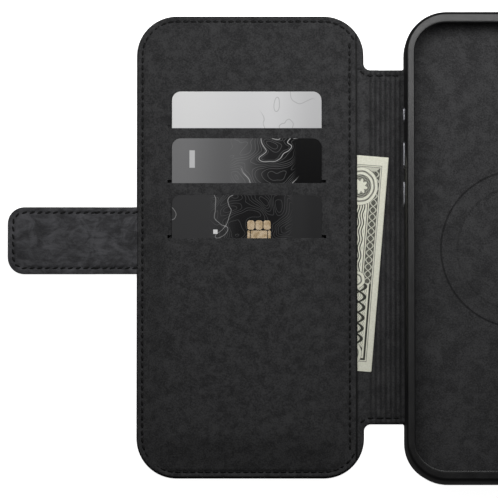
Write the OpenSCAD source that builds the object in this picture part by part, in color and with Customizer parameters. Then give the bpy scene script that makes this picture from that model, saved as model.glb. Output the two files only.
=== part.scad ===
// Phone wallet case: a folio that lies open and flat.
// Origin: centre of the magnet ring, on the outer leather face of the phone tray's back.
// +X points to the tray's free side, +Y to the phone's top, +Z out of the open tray.

/* [Phone tray] */
// Width over the bumper's bulge
tray_w = 83.6; // [83:0.1:84.2]
// Length over the bumper's bulge
tray_l = 171.4; // [170.8:0.1:172]
// Height of the bumper's lip above the outer leather
tray_h = 12.2; // [12:0.1:12.4]
// Radius of the bumper's corners
tray_r = 15.3; // [14.8:0.1:15.6]
// Thickness from the bulge to the phone cavity's wall
wall_t = 2.6; // [2.5:0.05:2.7]

/* [Cover] */
// Left edge of the front cover
cover_left = -138.3; // [-139:0.1:-137.5]
// Length of the cover
cover_l = 168; // [167.4:0.1:168.4]
// How far the cover sits towards the phone's top, against the tray
cover_shift = 1.1; // [0:0.1:1.5]
// Radius of the cover's corners
cover_r = 14.5; // [13.5:0.1:15]
// Length of the spine between the notches
spine_l = 128.8; // [128:0.1:129]
// Fold line between the tray and the spine
fold_tray_x = -43; // [-43.2:0.1:-42.9]
// Fold line between the spine and the cover
fold_cover_x = -58.9; // [-59:0.1:-58.7]
// Right edge of the cover above and below the notches
ear_x = -56.4; // [-57:0.1:-56]

/* [Layers] */
// Thickness of the outer leather
leather_t = 1.0; // [0.9:0.05:1]
// Height of the fold lines, which is the inner face of the spine
fold_z = 1.9; // [1.9:0.05:1.95]
// Thickness of a lining or divider sheet
sheet_t = 0.3; // [0.25:0.05:0.3]

/* [Cards] */
// Width of a card
card_w = 54; // [53.9:0.1:54.1]
// Length of a card
card_l = 85.6; // [85.4:0.1:85.7]
// Thickness of a card
card_t = 0.76; // [0.7:0.02:0.8]
// Middle of the three slots across the cover
slot_x = -98.6; // [-99:0.1:-98]
// Width of a slot
slot_w = 57.2; // [56.5:0.1:58]

/* [Strap] */
// Width of the closing strap
strap_w = 24.2; // [22:0.1:26]
// Middle of the strap along the cover
strap_y = 2.2; // [0:0.1:5]
// Strap's fold beside the cover
strap_fold_a_x = -144.3; // [-144.5:0.1:-144.2]
// Strap's fold beside the back
strap_fold_b_x = -161.9; // [-162.2:0.1:-161.9]
// Rounded end of the strap
strap_end_x = -184.8; // [-186:0.1:-183]

/* [Hidden] */
$fn = 64;
eps = 0.05;
corner_x = tray_w / 2 - tray_r;
corner_y = tray_l / 2 - tray_r;
plate_z = leather_t;
plate_top = 2.3;
floor_z = 2.7;
wall_top = 10.6;
cavity_r = tray_r - wall_t;
cavity_top = 11;
tray_wall_r = cavity_r + 1.1;
lip_r = 11.7;
ring_in = 23;
ring_out = 28;
ring_z = 1.5;
ring_segments = 18;
camera_x = 16.8;
camera_y = 59.75;
camera_w = 39.6;
camera_r = 11;
bezel_t = 1.3;
stitch_t = 0.15;
stitch_w = 0.6;
stitch_in = 2.1;
board_top = 1.6;
gap_top = 2.35;
backing_top = 2.6;
lining_top = 2.9;
pocket_rise = 1.15;
pocket_step = 20.2;
slot_y = 42.8;
pocket_spare = 0.5;
pocket_wall = 1.6;
pocket_depth = 90;
pocket_hem = 3;
card_tops = [56.2, 38.95, 18.1];
card_corner = 3.18;
lining_edge_x = -59.4;
chip_w = 8.4;
chip_l = 11.5;
chip_t = 0.04;
chip_drop = 9.2;
chip_offset_x = 4.4;
button_z = 6.5;
button_face_x = -42.3;
strap_z = 0.1;
strap_top = 2.5;
strap_mid = 1.3;
strap_relief = 0.29;
hide = "#26262a";
suede = "#3a3a3c";
nubuck = "#47474b";
rubber = "#303033";
steel = "#9a9da1";

// Carries the spine, cover and strap to their place against the tray
module beside_tray() {
  translate([0, cover_shift, 0]) children();
}

// Rounded rectangle centred on the origin
module rounded(w, l, r) {
  square([w - 2 * r, l], center = true);
  square([w, l - 2 * r], center = true);
  for (sx = [-1, 1]) {
    for (sy = [-1, 1]) {
      translate([sx * (w / 2 - r), sy * (l / 2 - r)]) circle(r);
    }
  }
}

// Solid whose outline keeps the tray's corner centres, at corner radius r
module tray_slab(r, z0, z1) {
  translate([0, 0, z0])
    linear_extrude(z1 - z0) rounded(2 * (corner_x + r), 2 * (corner_y + r), r);
}

// Straight run of a wall profile, beside the corner centres at distance d along X
module wall_run(d, l) {
  translate([d, l / 2, 0]) rotate([90, 0, 0]) linear_extrude(l) children();
}

// Sweeps a wall profile, drawn as distance from the corner centre and height, round the tray
module round_tray() {
  wall_run(corner_x, 2 * corner_y) children();
  rotate([0, 0, 180]) wall_run(corner_x, 2 * corner_y) children();
  rotate([0, 0, 90]) wall_run(corner_y, 2 * corner_x) children();
  rotate([0, 0, 270]) wall_run(corner_y, 2 * corner_x) children();
  translate([corner_x, corner_y, 0]) rotate_extrude(angle = 90) children();
  translate([-corner_x, corner_y, 0]) rotate([0, 0, 90]) rotate_extrude(angle = 90) children();
  translate([-corner_x, -corner_y, 0]) rotate([0, 0, 180]) rotate_extrude(angle = 90) children();
  translate([corner_x, -corner_y, 0]) rotate([0, 0, 270]) rotate_extrude(angle = 90) children();
}

// Camera cut-out or its bezel's outline, grown by g on every side
module camera_hole(g, z0, z1) {
  translate([camera_x, camera_y, z0])
    linear_extrude(z1 - z0) rounded(camera_w + 2 * g, camera_w + 2 * g, camera_r + g);
}

// Bar with round ends that lies along Y at the button height, from x0 to x1
module side_bar(x0, x1, y, l, h) {
  translate([x0, y, button_z]) rotate([90, 0, 90])
    linear_extrude(x1 - x0) {
      square([l - h, h], center = true);
      translate([(l - h) / 2, 0]) circle(h / 2);
      translate([(h - l) / 2, 0]) circle(h / 2);
    }
}

// Button cap with a narrower stem that reaches the phone; side is -1 on the left wall
module button(side, y, l) {
  mirror([side > 0 ? 1 : 0, 0, 0]) {
    side_bar(button_face_x, -41, y, l, 2.8);
    side_bar(-41.1, -39.3, y, l - 2, 1.6);
  }
}

// Room for a button in the wall, with clearance for its travel
module button_hole(side, y, l) {
  mirror([side > 0 ? 1 : 0, 0, 0]) {
    side_bar(-44, -40.6, y, l + 0.4, 3.2);
    side_bar(-41.5, -38.5, y, l - 1.6, 2);
  }
}

module button_holes() {
  button_hole(-1, 48.2, 6.1);
  button_hole(-1, 33.7, 10.2);
  button_hole(-1, 19.5, 9.9);
  button_hole(1, 32, 18);
}

// Charging port and speaker slots through the bottom wall
module port_holes() {
  for (port = [[0, 13, 6.5], [-20, 12, 2.4], [20, 12, 2.4]]) {
    translate([port[0], -corner_y - tray_r + 4.5, button_z])
      rotate([90, 0, 0]) linear_extrude(6) {
        square([port[1] - port[2], port[2]], center = true);
        translate([(port[1] - port[2]) / 2, 0]) circle(port[2] / 2);
        translate([(port[2] - port[1]) / 2, 0]) circle(port[2] / 2);
      }
  }
}

// Flat prism along Y from a cross-section in X and Z
module along_y(l) {
  translate([0, l / 2, 0]) rotate([90, 0, 0]) linear_extrude(l) children();
}

module back_leather() {
  color(hide) difference() {
    union() {
      tray_slab(14.1, 0, leather_t);
      along_y(spine_l)
        polygon([
          [fold_tray_x + fold_z + eps, 0],
          [-corner_x, 0],
          [-corner_x, leather_t],
          [fold_tray_x + fold_z - leather_t + eps, leather_t]
        ]);
    }
    camera_hole(bezel_t, -1, 4);
  }
}

module tray() {
  color("#1c1c1e") difference() {
    tray_slab(tray_wall_r, plate_z, wall_top);
    tray_slab(cavity_r, plate_top, wall_top + 1);
    camera_hole(bezel_t, -1, 4);
    translate([0, 0, ring_z]) linear_extrude(2) difference() {
      circle(ring_out + 0.1);
      circle(ring_in - 0.1);
    }
    translate([-3.1, -50.1, ring_z]) cube([6.2, 14.2, 2]);
    translate([29.4, -7.6, plate_z - 1]) cube([9.2, 20.2, 1.65]);
    button_holes();
    port_holes();
  }
}

module bumper() {
  color(rubber) difference() {
    round_tray() polygon([
      [tray_wall_r, plate_z], [14.2, plate_z], [14.8, 1.9], [15.15, 3.6], [tray_r, 5.6],
      [tray_r, 7.2], [15.15, 9.2], [14.8, 11], [14.5, 11.8], [14, tray_h],
      [12.2, tray_h], [11.85, 12], [lip_r, 11.6], [lip_r, 11.3], [lip_r + 0.3, cavity_top],
      [cavity_r, cavity_top], [cavity_r, wall_top], [tray_wall_r, wall_top]
    ]);
    button_holes();
    port_holes();
  }
}

module shell_lining() {
  color(suede) difference() {
    tray_slab(cavity_r - 0.1, plate_top, floor_z);
    camera_hole(bezel_t, -1, 4);
  }
}

module magnet_ring() {
  color(steel) for (i = [0:ring_segments - 1]) {
    rotate([0, 0, i * 360 / ring_segments]) rotate_extrude(angle = 360 / ring_segments - 1)
      translate([ring_in, ring_z]) square([ring_out - ring_in, plate_top - ring_z]);
  }
}

module alignment_magnet() {
  color(steel) translate([-3, -50, ring_z]) cube([6, 14, plate_top - ring_z]);
}

module keeper_plate() {
  color(steel) translate([29.5, -7.5, plate_z]) cube([9, 20, 0.6]);
}

module camera_bezel() {
  color(rubber) difference() {
    camera_hole(bezel_t, 0, floor_z);
    camera_hole(0, -1, floor_z + 1);
  }
}

module spine_leather() {
  color(hide) along_y(spine_l) polygon([
    [fold_cover_x + fold_z + eps, 0],
    [fold_tray_x - fold_z - eps, 0],
    [fold_tray_x - fold_z + leather_t - eps, leather_t],
    [fold_cover_x + fold_z - leather_t + eps, leather_t]
  ]);
}

module spine_lining() {
  rib_pitch = 1.72;
  first_groove = -53.8;
  color(suede) difference() {
    along_y(spine_l) polygon([
      [fold_cover_x + fold_z - leather_t + eps, leather_t],
      [fold_tray_x - fold_z + leather_t - eps, leather_t],
      [fold_tray_x - eps, fold_z],
      [fold_cover_x + eps, fold_z]
    ]);
    for (i = [0:5]) {
      translate([first_groove + i * rib_pitch, 0, fold_z]) rotate([90, 45, 0])
        cube([0.5, 0.5, spine_l - 8], center = true);
    }
  }
}

module spine_thread() {
  color("#4a4a4c") for (s = [-1, 1]) {
    translate([-57.8, s * (spine_l / 2 - stitch_in) - stitch_w / 2, fold_z])
      cube([14, stitch_w, stitch_t]);
  }
}

// Outline of the cover, from its left edge to x on the middle stretch and to the ears' edge outside it
module cover_outline(x, inset) {
  w = ear_x - cover_left;
  difference() {
    translate([(ear_x + cover_left) / 2, 0])
      rounded(w - 2 * inset, cover_l - 2 * inset, cover_r - inset);
    translate([x, -spine_l / 2 - 0.3]) square([20, spine_l + 0.6]);
  }
}

module cover_layer(z0, z1, x, inset) {
  translate([0, 0, z0]) linear_extrude(z1 - z0) cover_outline(x, inset);
}

module cover_leather() {
  color(hide) difference() {
    cover_layer(0, leather_t, fold_cover_x - fold_z + leather_t - eps, 0);
    along_y(spine_l + 0.6) polygon([
      [fold_cover_x - fold_z - eps, -0.01],
      [fold_cover_x, -0.01],
      [fold_cover_x, leather_t + 0.01],
      [fold_cover_x - fold_z + leather_t - eps, leather_t + 0.01]
    ]);
  }
}

module cover_board() {
  color("#5a5348") difference() {
    cover_layer(leather_t, board_top, -60, 2);
    translate([-140, strap_y - strap_w / 2 - 0.1, 0]) cube([12.1, strap_w + 0.2, 3]);
  }
}

module pocket_back_lining() {
  color(suede) cover_layer(board_top, fold_z, fold_cover_x - sheet_t - eps, 0.3);
}

module card_backing() {
  color(suede) difference() {
    cover_layer(fold_z, backing_top, -60, 0.4);
    translate([cover_left + 3, -cover_l / 2 + 3, fold_z - 1]) cube([100, cover_l - 6, gap_top - fold_z + 1]);
  }
}

// Lower end of one card pocket, numbered from the top: level 0, 1 or 2
function pocket_low(level) = card_tops[level] - card_l - pocket_spare;

// Space of one card pocket
module pocket_space(level) {
  z = lining_top + level * pocket_rise;
  translate([slot_x - slot_w / 2 + pocket_wall / 2, pocket_low(level), z])
    cube([slot_w - pocket_wall, pocket_depth, pocket_rise - sheet_t]);
}

// Front of one card pocket, from below its card to its slot
module pocket_block(level) {
  z = lining_top + level * pocket_rise;
  low = pocket_low(2) - pocket_hem;
  translate([slot_x - slot_w / 2 - pocket_wall, low, z])
    cube([slot_w + 2 * pocket_wall, slot_y - level * pocket_step - low, pocket_rise]);
}

// Sheet between two pockets, below the slot of the lower one
module divider(level) {
  z = lining_top + level * pocket_rise - sheet_t;
  low = pocket_low(level - 1);
  translate([slot_x - slot_w / 2 + pocket_wall / 2, low, z])
    cube([slot_w - pocket_wall, slot_y - level * pocket_step - low, sheet_t]);
}

module divider_upper() {
  color(suede) divider(1);
}

module divider_lower() {
  color(suede) divider(2);
}

// Seam round the cover and along the lining's free edge, sunk flush with the lining
module seam_block(height) {
  edge_x = lining_edge_x - stitch_in;
  translate([0, 0, lining_top - stitch_t]) linear_extrude(height) {
    difference() {
      cover_outline(edge_x - stitch_w, stitch_in - stitch_w / 2);
      cover_outline(-50, stitch_in + stitch_w / 2);
    }
    translate([edge_x - stitch_w / 2, -spine_l / 2]) square([stitch_w, spine_l]);
  }
}

module cover_lining() {
  color(suede) difference() {
    union() {
      cover_layer(backing_top, lining_top, lining_edge_x, 0.3);
      pocket_block(0);
      pocket_block(1);
      pocket_block(2);
    }
    pocket_space(0);
    pocket_space(1);
    pocket_space(2);
    divider(1);
    divider(2);
    seam_block(stitch_t + 1);
  }
}

module cover_thread() {
  color("#4a4a4c") seam_block(stitch_t);
}

// Folded note in the cash pocket, tilted, limited to the stretch from x0 to x1
module banknote(x0, x1) {
  note_tilt = -4.7;
  color("#d3d3c0") intersection() {
    translate([-47.4, 32.3, 1.97]) rotate([0, 0, note_tilt])
      translate([-66.3, -78, 0]) cube([66.3, 78, 0.3]);
    translate([x0, -80, 0]) cube([x1 - x0, 160, 4]);
  }
}

module banknote_inner() {
  banknote(-130, fold_cover_x - 0.2);
}

module banknote_outer() {
  banknote(fold_cover_x + 0.9, -40);
}

// Prism across the strap from x0 to x1, with ends that clear the fold lines at the top face
module strap_piece(x0, x1, z0, z1, lean0, lean1, w) {
  translate([0, strap_y, 0]) along_y(w) polygon([
    [x0 - lean0 * (strap_top - z0), z0],
    [x1 - lean1 * (strap_top - z0), z0],
    [x1 - lean1 * (strap_top - z1), z1],
    [x0 - lean0 * (strap_top - z1), z1]
  ]);
}

module strap_root() {
  color(nubuck) {
    strap_piece(strap_fold_a_x + eps, cover_left - eps, strap_z, strap_top, -strap_relief, 0, strap_w);
    translate([cover_left - 1, strap_y - strap_w / 2, leather_t]) cube([11, strap_w, board_top - leather_t]);
  }
}

module strap_side_leather() {
  color(nubuck) strap_piece(strap_fold_b_x + eps, strap_fold_a_x - eps,
    strap_z, strap_mid, -strap_relief, strap_relief, strap_w);
}

module strap_side_lining() {
  color(nubuck) strap_piece(strap_fold_b_x + eps, strap_fold_a_x - eps,
    strap_mid, strap_top - stitch_t, -strap_relief, strap_relief, strap_w);
}

module strap_side_thread() {
  color("#4a4a4c") for (s = [-1, 1]) {
    translate([strap_fold_b_x + 0.3, strap_y + s * (strap_w / 2 - 2) - stitch_w / 2, strap_top - stitch_t])
      cube([strap_fold_a_x - strap_fold_b_x - 0.6, stitch_w, stitch_t]);
  }
}

// Outline of the strap's tip with its round end, inset on every side but the fold's
module tip_outline(inset) {
  r = 6;
  fold = strap_fold_b_x - 1;
  l = fold - strap_end_x;
  intersection() {
    translate([fold, strap_y]) rounded(2 * (l - inset), strap_w - 2 * inset, r - inset);
    translate([strap_end_x, strap_y - strap_w]) square([l, 2 * strap_w]);
  }
}

module tip_layer(z0, z1, inset) {
  translate([0, 0, z0]) linear_extrude(z1 - z0) tip_outline(inset);
}

module strap_tip_leather() {
  color(nubuck) tip_layer(strap_z, 1, 0);
}

module strap_tip_lining() {
  color(nubuck) {
    tip_layer(1.7, strap_top - stitch_t, 0);
    difference() {
      tip_layer(1, 1.7, 0);
      tip_layer(0.9, 1.8, 3);
    }
  }
}

// The two magnets' places in the strap's tip, grown by g
module tip_magnets(g, z0, z1) {
  for (y = [-5, 5]) {
    translate([-176 - g, strap_y + y - 4 - g, z0]) cube([9 + 2 * g, 8 + 2 * g, z1 - z0]);
  }
}

module strap_core() {
  color("#5a5348") difference() {
    tip_layer(1, 1.7, 3.1);
    tip_magnets(0.1, 0.9, 1.8);
  }
}

module strap_magnets() {
  color(steel) tip_magnets(0, 1, 1.7);
}

module strap_tip_thread() {
  color("#4a4a4c") translate([0, 0, strap_top - stitch_t]) linear_extrude(stitch_t) difference() {
    tip_outline(2 - stitch_w / 2);
    tip_outline(2 + stitch_w / 2);
  }
}

// One card in its pocket, numbered from the top
module card(level) {
  z = lining_top + level * pocket_rise + eps;
  translate([slot_x, card_tops[level] - card_l / 2, z])
    linear_extrude(card_t) rounded(card_w, card_l, card_corner);
}

module card_upper() {
  color("#cfcfd0") card(0);
}

module card_middle() {
  color("#77777a") card(1);
}

module card_lower() {
  color("#2c2c2e") card(2);
}

module card_chip() {
  color("#c8a878")
    translate([
      slot_x + chip_offset_x,
      card_tops[2] - chip_drop - chip_l / 2,
      lining_top + 2 * pocket_rise + eps + card_t
    ])
      linear_extrude(chip_t) rounded(chip_w, chip_l, 1.2);
}

module action_button() {
  color("#5b5b60") button(-1, 48.2, 6.1);
}

module volume_up_button() {
  color("#5b5b60") button(-1, 33.7, 10.2);
}

module volume_down_button() {
  color("#5b5b60") button(-1, 19.5, 9.9);
}

module side_button() {
  color("#5b5b60") button(1, 32, 18);
}

back_leather();
tray();
bumper();
shell_lining();
magnet_ring();
alignment_magnet();
keeper_plate();
camera_bezel();
beside_tray() spine_leather();
beside_tray() spine_lining();
beside_tray() spine_thread();
beside_tray() banknote_outer();
beside_tray() cover_leather();
beside_tray() cover_board();
beside_tray() pocket_back_lining();
beside_tray() card_backing();
beside_tray() divider_upper();
beside_tray() divider_lower();
beside_tray() cover_lining();
beside_tray() cover_thread();
beside_tray() banknote_inner();
beside_tray() strap_root();
beside_tray() strap_side_leather();
beside_tray() strap_side_lining();
beside_tray() strap_side_thread();
beside_tray() strap_tip_leather();
beside_tray() strap_tip_lining();
beside_tray() strap_core();
beside_tray() strap_magnets();
beside_tray() strap_tip_thread();
beside_tray() card_upper();
beside_tray() card_middle();
beside_tray() card_lower();
beside_tray() card_chip();
action_button();
volume_up_button();
volume_down_button();
side_button();
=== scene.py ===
"""Looks of the phone wallet case: leather, linings, strap, seams, cards, folded note and phone tray."""

import math

import bmesh
import bpy
import numpy as np
from mathutils import Matrix, Vector


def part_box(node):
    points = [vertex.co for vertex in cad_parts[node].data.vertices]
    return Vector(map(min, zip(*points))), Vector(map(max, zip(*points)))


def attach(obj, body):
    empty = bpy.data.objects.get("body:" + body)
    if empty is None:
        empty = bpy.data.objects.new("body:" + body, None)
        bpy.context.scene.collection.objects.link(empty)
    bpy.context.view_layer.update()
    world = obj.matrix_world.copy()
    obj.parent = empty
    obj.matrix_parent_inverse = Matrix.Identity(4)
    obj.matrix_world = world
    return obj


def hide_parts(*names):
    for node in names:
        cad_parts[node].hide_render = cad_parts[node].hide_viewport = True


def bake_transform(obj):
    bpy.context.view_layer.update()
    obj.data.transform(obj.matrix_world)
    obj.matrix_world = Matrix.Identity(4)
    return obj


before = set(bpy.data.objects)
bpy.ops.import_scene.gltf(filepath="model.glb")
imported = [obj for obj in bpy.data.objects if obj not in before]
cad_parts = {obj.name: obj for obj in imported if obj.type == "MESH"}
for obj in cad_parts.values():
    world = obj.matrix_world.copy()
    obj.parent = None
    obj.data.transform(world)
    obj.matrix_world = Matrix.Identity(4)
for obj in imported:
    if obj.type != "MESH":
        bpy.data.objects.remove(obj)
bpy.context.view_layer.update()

# ---------------------------------------------------------------- sizes, in millimetres
MM = 0.001


def cad_box(node):
    """A CAD node's corners in millimetres."""
    low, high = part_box(node)
    return low / MM, high / MM


LEATHER_LOW, LEATHER_HIGH = cad_box("cover_leather")
SPINE_LOW, SPINE_HIGH = cad_box("spine_lining")
BACK_LOW, BACK_HIGH = cad_box("back_leather")
BUMPER_LOW, BUMPER_HIGH = cad_box("bumper")
FLOOR_LOW, FLOOR_HIGH = cad_box("shell_lining")
BEZEL_LOW, BEZEL_HIGH = cad_box("camera_bezel")
TIP_LOW, TIP_HIGH = cad_box("strap_tip_leather")
CHIP_LOW, CHIP_HIGH = cad_box("card_chip")

COVER_LEFT = LEATHER_LOW.x
EAR_X = LEATHER_HIGH.x
COVER_HALF = (LEATHER_HIGH.y - LEATHER_LOW.y) / 2
COVER_SHIFT = (LEATHER_HIGH.y + LEATHER_LOW.y) / 2
COVER_R = 14.5
SPINE_HALF = (SPINE_HIGH.y - SPINE_LOW.y) / 2
FOLD_COVER_X = -58.9
FOLD_TRAY_X = -43.0
FOLD_Z = SPINE_HIGH.z
SPINE_MID = (FOLD_COVER_X + FOLD_TRAY_X) / 2
NOTCH_R = 2.4
HIDE_TOP = 1.3
BACK_TOP = 0.98
BACK_R = 14.1
CAMERA_R = 12.3
FREE_EDGE_X = -59.4
LINING_TOP = 2.9
POCKET_RISE = 1.15
SLOT_X = -98.6
SLOT_HALF = 28.6
SLOT_GAP = 1.3
SLOT_Y = (42.8, 22.6, 2.4)
POCKET_BOTTOM = -68.0
SEAM_IN = 2.1
ACROSS_SEAM = (-0.85, -0.45, 0, 0.45, 0.85)  # mesh lines across the valley that a seam pulls
STITCH_PITCH = 2.7
STITCH_LENGTH = 2.25
THREAD_WIDTH = 0.86
RIB_PITCH = 1.81
RIB_FIRST = -53.95
RIB_DEPTH = 0.52
STRAP_Y = (TIP_LOW.y + TIP_HIGH.y) / 2
STRAP_HALF = (TIP_HIGH.y - TIP_LOW.y) / 2
STRAP_END = TIP_LOW.x
STRAP_R = 6.0
STRAP_FOLD_A = -144.3
STRAP_FOLD_B = -161.9
STRAP_MID = (STRAP_FOLD_A + STRAP_FOLD_B) / 2
STRAP_LOW = 0.1
STRAP_SPLIT = 1.2
STRAP_TOP = 2.5
STRAP_SEAM_IN = 2.0
CARD_R = 3.18
NOTE_W = 66.3
NOTE_L = 78.0
NOTE_TILT = math.radians(-4.7)
NOTE_CORNER = Vector((-47.4, 32.3 + COVER_SHIFT))
TRAY_R = 15.3
TRAY_CX = BUMPER_HIGH.x - TRAY_R
TRAY_CY = BUMPER_HIGH.y - TRAY_R
FLOOR_R = 12.6
BUTTON_Z = 6.5
BUTTON_H = 2.8
RING_GROOVE = 28.6
RING_FAINT = 22.6
LIP_START = 13.0  # profile points nearer the cavity than this belong to the lip
END_LIP = 0.8  # how much wider the lip is at the tray's two ends

# ---------------------------------------------------------------- small tools


def linear(hex_colour):
    """An sRGB hex colour as linear RGBA."""
    channels = [int(hex_colour[i : i + 2], 16) / 255 for i in (1, 3, 5)]
    return [c / 12.92 if c <= 0.04045 else ((c + 0.055) / 1.055) ** 2.4 for c in channels] + [1.0]


def add(tree, kind, inputs=None, **settings):
    """Adds a node; inputs maps a socket's name or number to a value or to another node's output."""
    made = tree.nodes.new(kind)
    for key, value in settings.items():
        setattr(made, key, value)
    for key, value in (inputs or {}).items():
        if isinstance(value, bpy.types.NodeSocket):
            tree.links.new(value, made.inputs[key])
        else:
            made.inputs[key].default_value = value
    return made


def new_object(name, mesh):
    """Object in the scene's collection."""
    made = bpy.data.objects.new(name, mesh)
    bpy.context.scene.collection.objects.link(made)
    return made


def mesh_object(name, bm, smooth_angle=50):
    """Turns a bmesh drawn in millimetres into an object in metres, smooth apart from its sharp edges."""
    bmesh.ops.scale(bm, vec=(MM, MM, MM), verts=bm.verts)
    for face in bm.faces:
        face.smooth = True
    for edge in bm.edges:
        if len(edge.link_faces) == 2:
            edge.smooth = edge.calc_face_angle(0) < math.radians(smooth_angle)
    mesh = bpy.data.meshes.new(name)
    bm.to_mesh(mesh)
    bm.free()
    return new_object(name, mesh)


def applied(obj):
    """Bakes an object's modifiers into its mesh."""
    graph = bpy.context.evaluated_depsgraph_get()
    bpy.context.view_layer.update()
    mesh = bpy.data.meshes.new_from_object(obj.evaluated_get(graph))
    obj.modifiers.clear()
    if obj.type == "MESH":
        obj.data = mesh
        return obj
    name = obj.name
    bpy.data.objects.remove(obj)
    return new_object(name, mesh)


def smooth_step(low, high, value):
    """0 below low, 1 above high, and an even curve between."""
    t = min(max((value - low) / (high - low), 0.0), 1.0)
    return t * t * (3 - 2 * t)


def rounded_path(points, closed=True):
    """Polyline through corners given as (x, y, radius), with each corner turned into an arc."""
    path = []
    count = len(points)
    for i, (x, y, radius) in enumerate(points):
        here = Vector((x, y))
        if radius <= 0 or (not closed and i in (0, count - 1)):
            path.append(here)
            continue
        before = (Vector(points[i - 1][:2]) - here).normalized()
        after = (Vector(points[(i + 1) % count][:2]) - here).normalized()
        half = before.angle(after) / 2
        centre = here + (before + after).normalized() * radius / math.sin(half)
        start = here + before * radius / math.tan(half) - centre
        turn = (math.pi - 2 * half) * (1 if before.cross(after) < 0 else -1)
        steps = max(3, int(abs(turn) * radius / 1.1), int(abs(turn) / 0.16))
        for k in range(steps + 1):
            path.append(centre + Matrix.Rotation(turn * k / steps, 2) @ start)
    return path


def lines_between(low, high, step):
    """Places that divide low to high into equal steps, without the two ends."""
    count = max(1, round((high - low) / step))
    return [low + (high - low) * k / count for k in range(1, count)]


def sharp_rims(bm, seams):
    """Edges between a plate's faces and its sides, apart from those at the x places where plates meet."""
    rims = []
    for edge in bm.edges:
        joint = any(all(abs(v.co.x - s) < 1e-3 for v in edge.verts) for s in seams)
        if not joint and len(edge.link_faces) == 2 and edge.calc_face_angle(0) > 1.2:
            if abs(edge.verts[0].co.z - edge.verts[1].co.z) < 1e-4:
                rims.append(edge)
    return rims


def plate(
    name, outline, z0, z1, step=2.0, rim=0.25,
    lines_x=(), lines_y=(), slits=(), seams=(), shape=None, crisp=50,
):
    """Sheet with a gridded face: slits are (x0, x1, y0, y1) holes, seams are x places left unrounded."""
    bm = bmesh.new()
    bm.faces.new([bm.verts.new((p.x, p.y, z0)) for p in outline])
    xs, ys = [p.x for p in outline], [p.y for p in outline]
    cuts_x = lines_between(min(xs), max(xs), step) + list(lines_x)
    cuts_y = lines_between(min(ys), max(ys), step) + list(lines_y)
    for x0, x1, y0, y1 in slits:
        cuts_x += [x0, x1]
        cuts_y += [y0, y1]
    for normal, cuts in ((Vector((1, 0, 0)), cuts_x), (Vector((0, 1, 0)), cuts_y)):
        for cut in sorted(cuts):
            geometry = bm.verts[:] + bm.edges[:] + bm.faces[:]
            bmesh.ops.bisect_plane(bm, geom=geometry, dist=1e-4, plane_co=normal * cut, plane_no=normal)
    gone = []
    for face in bm.faces:
        c = face.calc_center_median()
        if any(x0 < c.x < x1 and y0 < c.y < y1 for x0, x1, y0, y1 in slits):
            gone.append(face)
    bmesh.ops.delete(bm, geom=gone, context="FACES")
    grown = bmesh.ops.extrude_face_region(bm, geom=bm.faces[:], use_keep_orig=True)
    top = [v for v in grown["geom"] if isinstance(v, bmesh.types.BMVert)]
    bmesh.ops.translate(bm, vec=(0, 0, z1 - z0), verts=top)
    bmesh.ops.recalc_face_normals(bm, faces=bm.faces[:])
    rims = sharp_rims(bm, seams)
    bmesh.ops.bevel(bm, geom=rims, offset=rim, segments=2, profile=0.5, affect="EDGES", clamp_overlap=True)
    if shape:
        for v in bm.verts:
            t = (v.co.z - z0) / (z1 - z0)
            v.co.z = shape(v.co.x, v.co.y, t)
    return mesh_object(name, bm, crisp)


def skin(bm, loops, closed=False):
    """Faces between each loop of vertices and the next, and from the last to the first if closed."""
    following = loops[1:] + loops[:1] if closed else loops[1:]
    for a, b in zip(loops, following):
        for i in range(len(a)):
            j = (i + 1) % len(a)
            bm.faces.new((a[i], a[j], b[j], b[i]))


def prism(path, axis, a, b):
    """Closed prism over a path; axis 2 extrudes along Z, 0 along X and 1 along Y."""
    bm = bmesh.new()
    ends = []
    for d in (a, b):
        places = [{0: (d, p.x, p.y), 1: (p.x, d, p.y), 2: (p.x, p.y, d)}[axis] for p in path]
        ends.append([bm.verts.new(place_at) for place_at in places])
        bm.faces.new(ends[-1])
    skin(bm, ends)
    bmesh.ops.recalc_face_normals(bm, faces=bm.faces[:])
    return bm


def cut_away(obj, prisms):
    """Subtracts each prism from the object."""
    for bm in prisms:
        cutter = mesh_object("cutter", bm)
        cut = obj.modifiers.new("cut", "BOOLEAN")
        cut.object = cutter
        cut.solver = "EXACT"
        applied(obj)
        bpy.data.objects.remove(cutter)
    return obj


def rounded_box(cx, cy, w, l, r):
    """Rectangle of width w and length l about (cx, cy), with corners of radius r."""
    x, y = w / 2, l / 2
    return rounded_path([(cx - x, cy - y, r), (cx + x, cy - y, r), (cx + x, cy + y, r), (cx - x, cy + y, r)])


def stadium(cx, cy, length, height):
    """Box whose short sides are half circles."""
    return rounded_box(cx, cy, length, height, height / 2 - 0.01)


def facing_up(path):
    """The path turned so that a face drawn over it looks up."""
    area = sum(a.x * b.y - b.x * a.y for a, b in zip(path, path[1:] + path[:1]))
    return path if area > 0 else path[::-1]


def beside_tray(obj):
    """Carries a piece drawn about the cover's middle to the cover's place against the tray."""
    obj.data.transform(Matrix.Translation((0, COVER_SHIFT * MM, 0)))


def finish_piece(obj, material, slot, *nodes):
    """Gives the piece its material and hides the CAD nodes whose place it takes; slot is not used."""
    obj.data.materials.clear()
    obj.data.materials.append(material)
    if nodes:
        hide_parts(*nodes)
    return obj


# ---------------------------------------------------------------- materials


def start_material(name, roughness, **sockets):
    """A material with its Principled shader; sockets are constants set on the shader itself."""
    made = bpy.data.materials.new(name)
    made.use_nodes = True
    tree = made.node_tree
    shader = tree.nodes["Principled BSDF"]
    shader.inputs["Roughness"].default_value = roughness
    for key, value in sockets.items():
        shader.inputs[key.replace("_", " ")].default_value = value
    return made, tree, shader


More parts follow.
